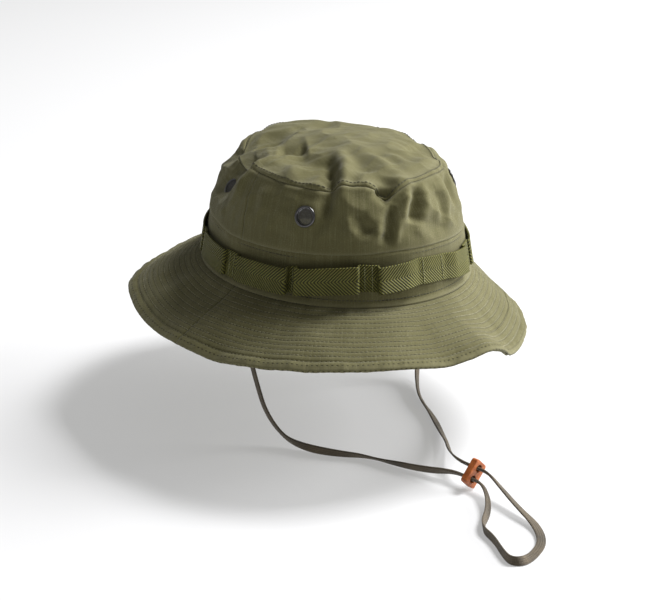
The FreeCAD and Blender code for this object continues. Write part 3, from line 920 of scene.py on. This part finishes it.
band = laid_grid("crown_band_cloth", (540, 34), band_place,
                 (2 * math.pi * GIRTH_RADIUS, BAND_CLOTH), weld=True)
band_z = np.array([vertex.co.z for vertex in band.data.vertices]) / MM
mark_rubbed(band, 0.8 * np.exp(-((band_z - 0.8) / 1.3) ** 2))
thicken(band, CLOTH)
finish_cloth(band, twill, "cloth", "crown_band")
print("band:", len(band.data.polygons), "faces")

# %% [markdown]
# The brim is two plies sewn together with rows of stitches a few millimetres apart.  Each
# row pulls a groove and the cloth puffs between, so it is quilted.  The slope of the
# brim changes round the hat: it droops most on the wearer's left, and at the front left it
# has been bent into a wave.

# %% Shape of the brim
BRIM_WIDTH = 58.0
HEM_ROW = 50.5                            # hem row, measured down the slope
ROW_STEP = 4.1
FIRST_ROW = 5.0
ROWS = [FIRST_ROW + ROW_STEP * i for i in range(11)] + [HEM_ROW]
# Droop below level, in degrees, round the hat.
droop = eased([(0, 44), (20, 38), (45, 31), (80, 27), (112, 29), (120, 28), (128, 26), (136, 24),
               (144, 23), (152, 26), (160, 28.5), (176, 29.5), (192, 31), (200, 29), (208, 27),
               (216, 24), (224, 22), (240, 21), (248, 22), (256, 23.5), (264, 21), (271, 19),
               (276, 24), (282, 35), (288, 41), (296, 45), (304, 47), (312, 45.5), (320, 45.5),
               (332, 46.5), (344, 47), (360, 44)], soften=11)
# How much steeper the brim's edge is than its root, in degrees.
edge_bend = eased([(0, 8), (90, 10), (150, 9), (200, 8), (250, 6), (268, 0), (276, -3), (284, 6),
                   (293, 6), (302, 4), (310, 8), (360, 8)], soften=9)
EDGE_ROLL = 1.3                           # radius of the rolled edge
BRIM_PLY = 1.2
BRIM_TUCK = 0.8                           # brim cloth that goes into the seam


def brim_plain(angle, down, out=0.0):
    """Top face of the brim: angle round the hat, distance down the slope from the seam."""
    wrapped = np.asarray(angle) % 360
    turn = np.radians(angle)
    straight = np.minimum(down, BRIM_WIDTH - 1.0)
    beyond = np.maximum(down - straight, 0) / EDGE_ROLL
    share = straight / BRIM_WIDTH
    bend = np.radians(edge_bend(wrapped))
    slope = np.radians(droop(wrapped)) - 0.5 * bend * (1 - share)
    tilt = slope + 0.5 * bend * share
    reach = straight * np.cos(slope)
    fall = straight * np.sin(slope)
    reach = reach + EDGE_ROLL * (np.sin(beyond) * np.cos(tilt)
                                 - (1 - np.cos(beyond)) * np.sin(tilt))
    fall = fall + EDGE_ROLL * (np.sin(beyond) * np.sin(tilt)
                               + (1 - np.cos(beyond)) * np.cos(tilt))
    reach = reach + out * np.sin(tilt)
    fall = fall - out * np.cos(tilt)
    return np.stack([(HALF_WIDTH + reach) * np.cos(turn),
                     (HALF_LENGTH + reach) * np.sin(turn), -fall], 1)


def quilting(angle, down):
    """Height of the quilted cloth: grooves at the rows, puffs between."""
    height = np.zeros(len(down))
    for row in ROWS:
        deep = 0.75 if row == HEM_ROW else 0.32
        height -= deep * np.exp(-((down - row) / 0.75) ** 2)
    hem_puff = 0.7 * np.exp(-((down - 54.3) / 2.6) ** 2)
    return height + 0.32 + hem_puff


def brim(angle, down, side=1.0):
    """Quilted brim cloth; side 1 is the top ply and -1 the underside."""
    plain = brim_plain(angle, down)
    soft = 0.9 * ripple(plain, 75.0, 31) + 0.35 * ripple(plain, 26.0, 33)
    pucker = 0.28 * ripple(plain * [1, 1, 0.5], 7.0, 35) * step_up(down, HEM_ROW, 53)
    at_ear = sum(roll_beside(arc_gap(angle, seam, 90 + 0.9 * down), 0.3, 0.12)
                 for seam in EAR_SEAMS)
    ease = step_up(down, 0, 14)
    lift = quilting(angle, down) * step_up(down, 0, 4) + pucker + at_ear
    flow = soft * ease
    if side > 0:
        return brim_plain(angle, down, flow + lift)
    return brim_plain(angle, down, flow - 2 * BRIM_PLY - lift)


def brim_half(name, start, side):
    """Front or back half of one ply."""
    widest = BRIM_WIDTH + 1.7 if side > 0 else BRIM_WIDTH - 1.2
    length = widest + BRIM_TUCK

    def place(u, v):
        down = -BRIM_TUCK + length * (1 - v if side > 0 else v)
        return brim(unpack_angle(u, start), down, side)
    cells = (330, 92) if side > 0 else (250, 74)
    piece = laid_grid(name, cells, place, (math.pi * 120, length))
    edge = length - BRIM_WIDTH if side > 0 else BRIM_WIDTH
    mark_rubbed_rows(piece, lambda up: 0.65 * math.exp(-((up - edge) / 2.2) ** 2))
    thicken(piece, BRIM_PLY)
    return piece


# The cloth's own direction across the brim runs inwards on top and outwards underneath.
top_rows = (BRIM_WIDTH + 1.7 - HEM_ROW - ROW_STEP / 2) * MM
under_rows = (FIRST_ROW + BRIM_TUCK - ROW_STEP / 2) * MM
quilted = {1.0: cotton("quilted_twill_top", CLOTH_DARK, CLOTH_MIDDLE, CLOTH_LIGHT,
                       rows=(top_rows, ROW_STEP * MM)),
           -1.0: cotton("quilted_twill_under", CLOTH_DARK, CLOTH_MIDDLE, CLOTH_LIGHT,
                        rows=(under_rows, ROW_STEP * MM))}
for start, word in ((0.0, "back"), (180.0, "front")):
    for side, ply in ((1.0, "upper"), (-1.0, "lower")):
        piece = brim_half(f"brim_{ply}_{word}_cloth", start, side)
        finish_cloth(piece, quilted[side], "cloth", f"brim_{ply}_{word}")
        print(piece.name, len(piece.data.polygons), "faces")

# %% [markdown]
# The sweatband lines the head opening.  It is a strip of softer cotton, sewn only at the
# brim seam, so its free top edge wavers a little.

# %% Sweatband
SWEATBAND_CLOTH = 33.0
SWEATBAND_RADIUS = 92.0
sweat_low, sweat_high = corners("sweatband")


def sweatband_place(u, v):
    """Point of the sweatband: u round the hat, v up the band."""
    angle = 360.0 * u
    height = sweat_low[2] + (sweat_high[2] - sweat_low[2]) * v
    plain = crown_plain(angle, height)
    inward = -1.7 - 0.6 * step_up(v, 0.3, 1) * (1 + ripple(plain, 55.0, 41))
    return plain + outward(crown_plain, angle, height) * inward[:, None]


sweatband = laid_grid("sweatband_cloth", (360, 26), sweatband_place,
                      (2 * math.pi * SWEATBAND_RADIUS, SWEATBAND_CLOTH), weld=True)
mark_rubbed(sweatband, np.zeros(len(sweatband.data.vertices)))
thicken(sweatband, 1.2)
finish_cloth(sweatband, drill, "sweatband_cloth", "sweatband")
print("sweatband:", len(sweatband.data.polygons), "faces")

# %% [markdown]
# The foliage strip is one length of webbing.  It is tacked flat to the band, stands out in
# a loop, is tacked flat again, and so on round the hat.  Its line round the hat is a list of
# (angle, distance off the band) corners, with the folds rounded, and a grid follows it.

# %% Line of the webbing
# Start, end, whether each end is folded sharply or eases down to the band, and how far
# each end stands off the band.
LOOPS = sorted([
    (243.0, 262.0, True, False, 6.2, 5.0), (209.5, 235.0, True, True, 6.0, 6.2),
    (180.5, 206.0, True, True, 3.0, 6.2), (149.0, 173.0, True, True, 1.8, 3.2),
    (119.0, 144.0, True, True, 2.0, 1.6), (96.0, 112.0, True, True, 3.5, 3.0),
    (278.0, 296.0, False, True, 4.6, 3.4), (305.0, 330.5, True, True, 2.4, 1.6),
    (334.0, 359.5, True, True, 3.0, 5.0), (7.0, 31.0, True, True, 6.0, 6.0),
    (36.0, 61.0, True, True, 5.6, 6.0), (68.0, 84.0, True, True, 5.0, 5.4)])
# How far the strip has slipped down the band, round the hat.
slipped = eased([(0, 2.5), (60, 2), (100, 4.5), (120, 7.5), (150, 8), (181, 8), (206, 6.3),
                 (210, 5.4), (235, 1.5), (243, 2.2), (262, 0.6), (280, 2.5), (297, 5), (318, 6.5),
                 (340, 4), (360, 2.5)], soften=7)
WEBBING_LOW = corners("webbing_loop_01")[0][2] + 0.6
WEBBING_THICK = 1.2
FLAT = 0.6                                # webbing off the band where it is tacked
STAND = 6.2                               # the most that a fold stands off the band
SAG = 0.2                                 # share of its stand that a loop loses at its middle


def webbing_corners():
    """(angle, off the band) all the way round, starting before the first loop."""
    folded = [(-0.9, 0.0), (0.25, 0.0), (0.1, 0.55), (0.2, 1.0), (1.6, 1.02)]
    easing = [(-0.9, 0.0), (0.2, 0.0), (3.0, 0.4), (6.0, 0.75)]
    knots = []
    for start, end, sharp_start, sharp_end, stand_start, stand_end in LOOPS:
        rising = folded if sharp_start else easing
        falling = folded if sharp_end else easing
        knots += [(start + turn, FLAT + share * (stand_start - FLAT)) for turn, share in rising]
        knots += [((start + end) / 2, (1 - SAG) * (stand_start + stand_end) / 2)]
        knots += [(end - turn, FLAT + share * (stand_end - FLAT))
                  for turn, share in reversed(falling)]
    return np.array(knots)


def rounded(knots, passes=2):
    """Corner cutting: each pass rounds every corner of the line."""
    for _ in range(passes):
        before, after = knots[:-1], knots[1:]
        cut = np.empty((2 * len(before), 2))
        cut[0::2] = 0.75 * before + 0.25 * after
        cut[1::2] = 0.25 * before + 0.75 * after
        knots = np.vstack([knots[:1], cut, knots[-1:]])
    return knots


knots = webbing_corners()
knots = np.vstack([knots, knots[:1] + [360.0, 0.0]])
strip = rounded(knots)
strip_run = np.hypot(np.diff(strip[:, 0]) * math.radians(GIRTH_RADIUS), np.diff(strip[:, 1]))
strip_at = np.concatenate([[0], np.cumsum(strip_run)])
print("webbing strip, mm:", round(strip_at[-1]))

# %% Foliage webbing
def webbing_place(u, v):
    """Point of the webbing: u along the strip, v up it."""
    at = u * strip_at[-1]
    angle = np.interp(at, strip_at, strip[:, 0])
    off = np.interp(at, strip_at, strip[:, 1])
    height = WEBBING_LOW - slipped(angle % 360) + WEBBING_WIDTH * v
    loose = np.clip((off - FLAT) / (STAND - FLAT), 0, 1)
    along = np.stack([at, at * 0, at * 0], 1)
    sway = 0.5 * loose * ripple(along, 47.0, 51)
    droop_down = -0.8 * loose * (1 + 0.5 * ripple(along, 90.0, 53))
    selvedge = 0.18 * (np.abs(v - 0.5) > 0.47)
    plain = crown_plain(angle, height + droop_down)
    facing = outward(crown_plain, angle, height)
    return plain + facing * (off + sway * (v - 0.3) + selvedge + 0.9)[:, None]


webbing = laid_grid("foliage_webbing", (1500, 20), webbing_place,
                    (strip_at[-1], WEBBING_WIDTH), weld=True)
thicken(webbing, WEBBING_THICK, side=0.0)
finish_cloth(webbing, webbing_finish, "webbing",
             *[f"webbing_loop_{number:02d}" for number in range(1, len(LOOPS) + 1)])
print("webbing:", len(webbing.data.polygons), "faces")

# %% [markdown]
# Topstitching is one thread that lies on the cloth and dives through it at each needle
# hole.  Each row is a thin grid closed into a tube, so a row of three hundred stitches is one
# quick shape, with a few faces for each stitch.  All rows of a piece are one object.

# %% Sewing rows of stitches
THREAD = 0.28                             # radius of the thread
STITCH_LIFT = (-0.60, 0.12, 0.22, 0.22, 0.12)   # thread off the cloth along one stitch
THREAD_SIDES = 4


def sew(name, rows, surface, facing, material=None, pitch=STITCH):
    """Rows are (angles, heights) ends or arrays; facing is +1 or -1 for the surface's side."""
    bm = bmesh.new()
    for angles, heights in rows:
        coarse = surface(angles, heights)
        length = np.linalg.norm(np.diff(coarse, axis=0), axis=1).sum()
        cells = len(STITCH_LIFT) * max(2, round(length / pitch))
        at = np.linspace(0, len(angles) - 1, cells + 1)
        angle = np.interp(at, np.arange(len(angles)), angles)
        height = np.interp(at, np.arange(len(heights)), heights)
        spot = surface(angle, height)
        normal = outward(surface, angle, height) * facing
        run = np.gradient(spot, axis=0)
        beside = np.cross(normal, run / np.linalg.norm(run, axis=1)[:, None])
        lift = np.resize(STITCH_LIFT, cells + 1)
        made = bmesh.ops.create_grid(bm, x_segments=cells, y_segments=THREAD_SIDES, size=0.5)
        for vertex in made["verts"]:
            step = round((vertex.co.x + 0.5) * cells)
            turn = (vertex.co.y + 0.5) * 2 * math.pi
            place = (spot[step] + normal[step] * (lift[step] + THREAD * math.sin(turn))
                     + beside[step] * (THREAD * math.cos(turn)))
            vertex.co = place * MM
    bmesh.ops.remove_doubles(bm, verts=bm.verts, dist=1e-6)
    rims = [edge for edge in bm.edges if edge.is_boundary]
    bmesh.ops.holes_fill(bm, edges=rims, sides=0)
    bmesh.ops.recalc_face_normals(bm, faces=bm.faces)
    piece = add_piece(name, bm)
    piece.data.materials.append(material or thread_finish)
    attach(piece, "hat")
    print(name, len(piece.data.polygons), "faces")
    return piece


def thread(name, dark, light):
    """Cotton thread: matt, with a slight change of colour along the row."""
    material, tree, shader = new_material(name)
    place = (add_node(tree, "TexCoord"), "Object")
    cloud = add_node(tree, "TexNoise", Vector=place, Scale=240.0, Detail=3.0)
    ramp = colours(tree, (cloud, "Fac"), [(0.35, dark), (0.65, light)])
    connect(tree, shader, "Base Color", ramp)
    twist = add_node(tree, "TexNoise", Vector=place, Scale=2600.0)
    bumped(tree, shader, (twist, "Fac"), 0.3, 0.0002)
    shader.inputs["Roughness"].default_value = 0.7
    return material


thread_finish = thread("olive_thread", (0.15, 0.14, 0.075), (0.27, 0.255, 0.16))
seam_thread = thread("dark_olive_thread", (0.035, 0.033, 0.016), (0.085, 0.080, 0.042))
tack_finish = thread("tack_thread", (0.16, 0.16, 0.07), (0.34, 0.34, 0.19))


def ring_row(height_of, start=0.0, sweep=360.0, points=721):
    """A row all the way round; height_of gives the height at each angle."""
    angles = start + np.linspace(0, sweep, points)
    return angles, height_of(angles % 360)


def level_at(value):
    """Height rule of a row that stays level."""
    return lambda angles: np.full(len(angles), float(value))


# %% Stitches of the brim
brim_rows = [ring_row(level_at(row)) for row in ROWS]
sew("brim_stitches_top", brim_rows, brim, -1.0)


def brim_underside(angle, down):
    """Face of the lower ply."""
    return brim(angle, down, -1.0)


sew("brim_stitches_under", brim_rows, brim_underside, 1.0)

# %% Stitches of the crown
tip_rows = [ring_row(lambda angles: tip_seam(angles) + 2.6)]
sew("tip_seam_stitches", tip_rows, tip_face, 1.0, material=seam_thread)
band_rows = [ring_row(lambda angles: band_seam(angles) - 3.0), ring_row(level_at(4.2))]
sew("band_stitches", band_rows, crown_plain, 1.0, material=seam_thread)


def sweatband_face(angle, height):
    """Sweatband as a function of angle and height."""
    return sweatband_place(angle / 360.0, (height - sweat_low[2]) / (sweat_high[2] - sweat_low[2]))


sew("sweatband_stitches", [ring_row(level_at(sweat_high[2] - 2.5))], sweatband_face, -1.0)

# %% [markdown]
# Each flat stretch of the webbing is held by a short upright line of close stitches, a bar
# tack, right beside the fold of the loop.

# %% Bar tacks
TACK_GAP = 2.4                            # degrees from the fold to the tack
TACK_STITCH = 1.6


def webbing_face(angle, height):
    """Face of the webbing where it lies flat on the band."""
    plain = crown_plain(angle, height)
    facing = outward(crown_plain, angle, height)
    return plain + facing * (FLAT + 0.9 + WEBBING_THICK / 2)


tacks = []
flat_from = LOOPS[-1][1] - 360.0
for start, end, *_ in LOOPS:
    room = start - flat_from
    spots = [flat_from + TACK_GAP, start - TACK_GAP] if room > 3 * TACK_GAP else [
        (flat_from + start) / 2]
    for angle in spots:
        foot = WEBBING_LOW - float(slipped(angle % 360))
        tacks.append((np.full(24, angle % 360),
                      foot + np.linspace(1.0, WEBBING_WIDTH - 1.0, 24)))
    flat_from = end
sew("bar_tacks", tacks, webbing_face, 1.0, tack_finish, pitch=TACK_STITCH)

# %% [markdown]
# A vent is an eyelet: a flanged tube of dark metal, pushed through the cloth and clenched
# over a washer inside, with a disc of woven wire across it.  Both metal parts are turned
# shapes, so a profile is spun about the vent's axis.

# %% Turned parts
def turned(name, profile, spot, facing, steps=64):
    """Closed ring spun from a closed profile of (radius, depth) points in mm."""
    bm = bmesh.new()
    verts = [bm.verts.new((radius * MM, 0, depth * MM)) for radius, depth in profile]
    edges = [bm.edges.new((a, b)) for a, b in zip(verts, verts[1:] + verts[:1])]
    bmesh.ops.spin(bm, geom=verts + edges, cent=(0, 0, 0), axis=(0, 0, 1),
                   angle=2 * math.pi, steps=steps, use_merge=True)
    bmesh.ops.remove_doubles(bm, verts=bm.verts, dist=1e-6)
    bmesh.ops.recalc_face_normals(bm, faces=bm.faces)
    stand = Matrix.Translation(spot) @ facing.to_track_quat("Z", "Y").to_matrix().to_4x4()
    bmesh.ops.transform(bm, matrix=stand, verts=bm.verts)
    return add_piece(name, bm)


EYELET = [(5.35, -2.4), (5.35, 0.3), (5.45, 0.75), (5.75, 1.05), (6.2, 1.15), (6.65, 1.0),
          (7.0, 0.7), (7.15, 0.25), (7.05, -0.1), (6.8, -0.15), (6.6, 0.2), (6.2, 0.45),
          (5.75, 0.2), (5.65, -2.4)]
WASHER = [(5.5, -2.2), (6.9, -1.75), (7.2, -1.9), (7.0, -2.35), (6.2, -2.6), (5.5, -2.9),
          (5.2, -2.7)]


# %% [markdown]
# The screen is woven wire.  A wire for each line of a grid, passed over and under, is made
# quickly by raising alternate knots of a grid and turning its edges into wires.

# %% Woven screen
SCREEN_RADIUS = 5.6
SCREEN_PITCH = 0.72
SCREEN_WIRE = 0.52
SCREEN_DEPTH = 0.05


def screen(name, spot, facing):
    """Wire screen: a grid turned into wires, trimmed to a disc, alternate knots raised."""
    bm = bmesh.new()
    cells = 2 * round(SCREEN_RADIUS / SCREEN_PITCH) + 1
    bmesh.ops.create_grid(bm, x_segments=cells, y_segments=cells, size=cells * SCREEN_PITCH / 2)
    outside = [vertex for vertex in bm.verts if vertex.co.length > SCREEN_RADIUS]
    bmesh.ops.delete(bm, geom=outside, context="VERTS")
    for vertex in bm.verts:
        parity = (round(vertex.co.x / SCREEN_PITCH + 20.5)
                  + round(vertex.co.y / SCREEN_PITCH + 20.5)) % 2
        vertex.co.z = 0.09 * (2 * parity - 1)
    bmesh.ops.wireframe(bm, faces=bm.faces, thickness=SCREEN_WIRE, use_replace=True,
                        use_boundary=True, use_even_offset=False)
    bmesh.ops.recalc_face_normals(bm, faces=bm.faces)
    stand = (Matrix.Translation(spot + facing * SCREEN_DEPTH * MM)
             @ facing.to_track_quat("Z", "Y").to_matrix().to_4x4() @ Matrix.Scale(MM, 4))
    bmesh.ops.transform(bm, matrix=stand, verts=bm.verts)
    return add_piece(name, bm)


for number, (spot, facing) in enumerate(vent_spots, start=1):
    fittings = [(turned(f"vent_eyelet_ring_{number}", EYELET, spot, facing),
                 "vent_eyelet", "gunmetal", gunmetal),
                (turned(f"vent_washer_ring_{number}", WASHER, spot, facing),
                 "vent_washer", "gunmetal", gunmetal),
                (screen(f"vent_screen_mesh_{number}", spot, facing),
                 "vent_screen", "screen", screen_wire)]
    for piece, node, slot_name, material in fittings:
        piece.data.materials.append(material)
        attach(piece, "hat")
        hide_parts(f"{node}_{number}")
print("vents fitted:", len(vent_spots))

# %% [markdown]
# The set is plain: a pale floor that runs out of view, a large soft light high on the
# wearer's left, a second one lower down beside it, and an even pale surround that fills
# the shadows.

# %% Floor and light
FLOOR_SIZE = 16.0
bm = bmesh.new()
bmesh.ops.create_grid(bm, x_segments=1, y_segments=1, size=FLOOR_SIZE / 2)
bmesh.ops.translate(bm, verts=bm.verts, vec=(0, 0, FLOOR * MM))
floor = add_piece("floor", bm)
floor_finish, floor_tree, floor_shader = new_material("pale_floor")
floor_shader.inputs["Base Color"].default_value = (0.46, 0.46, 0.47, 1.0)
floor_shader.inputs["Emission Color"].default_value = (1.0, 1.0, 1.0, 1.0)
floor_shader.inputs["Emission Strength"].default_value = 0.35
floor_shader.inputs["Roughness"].default_value = 0.9
floor.data.materials.append(floor_finish)

world = bpy.data.worlds.new("surround")
bpy.context.scene.world = world
world.use_nodes = True
surround = world.node_tree.nodes["Background"]
surround.inputs["Color"].default_value = (1.0, 1.0, 0.95, 1.0)
surround.inputs["Strength"].default_value = 0.24


def soft_light(name, toward, distance, size, power):
    """Square light that faces the hat from a direction."""
    lamp = bpy.data.lights.new(name, "AREA")
    lamp.shape = "SQUARE"
    lamp.size = size
    lamp.energy = power
    holder = bpy.data.objects.new(name, lamp)
    bpy.context.scene.collection.objects.link(holder)
    away = Vector(toward).normalized()
    holder.location = away * distance
    holder.rotation_euler = away.to_track_quat("Z", "Y").to_euler()
    return holder


soft_light("key_light", (0.702, -0.276, 1.0), 2.2, 0.8, 76.0)
soft_light("side_light", (1.0, -0.55, 0.36), 2.4, 0.9, 64.0)
bpy.context.scene.view_settings.view_transform = "Standard"
print("lights set")
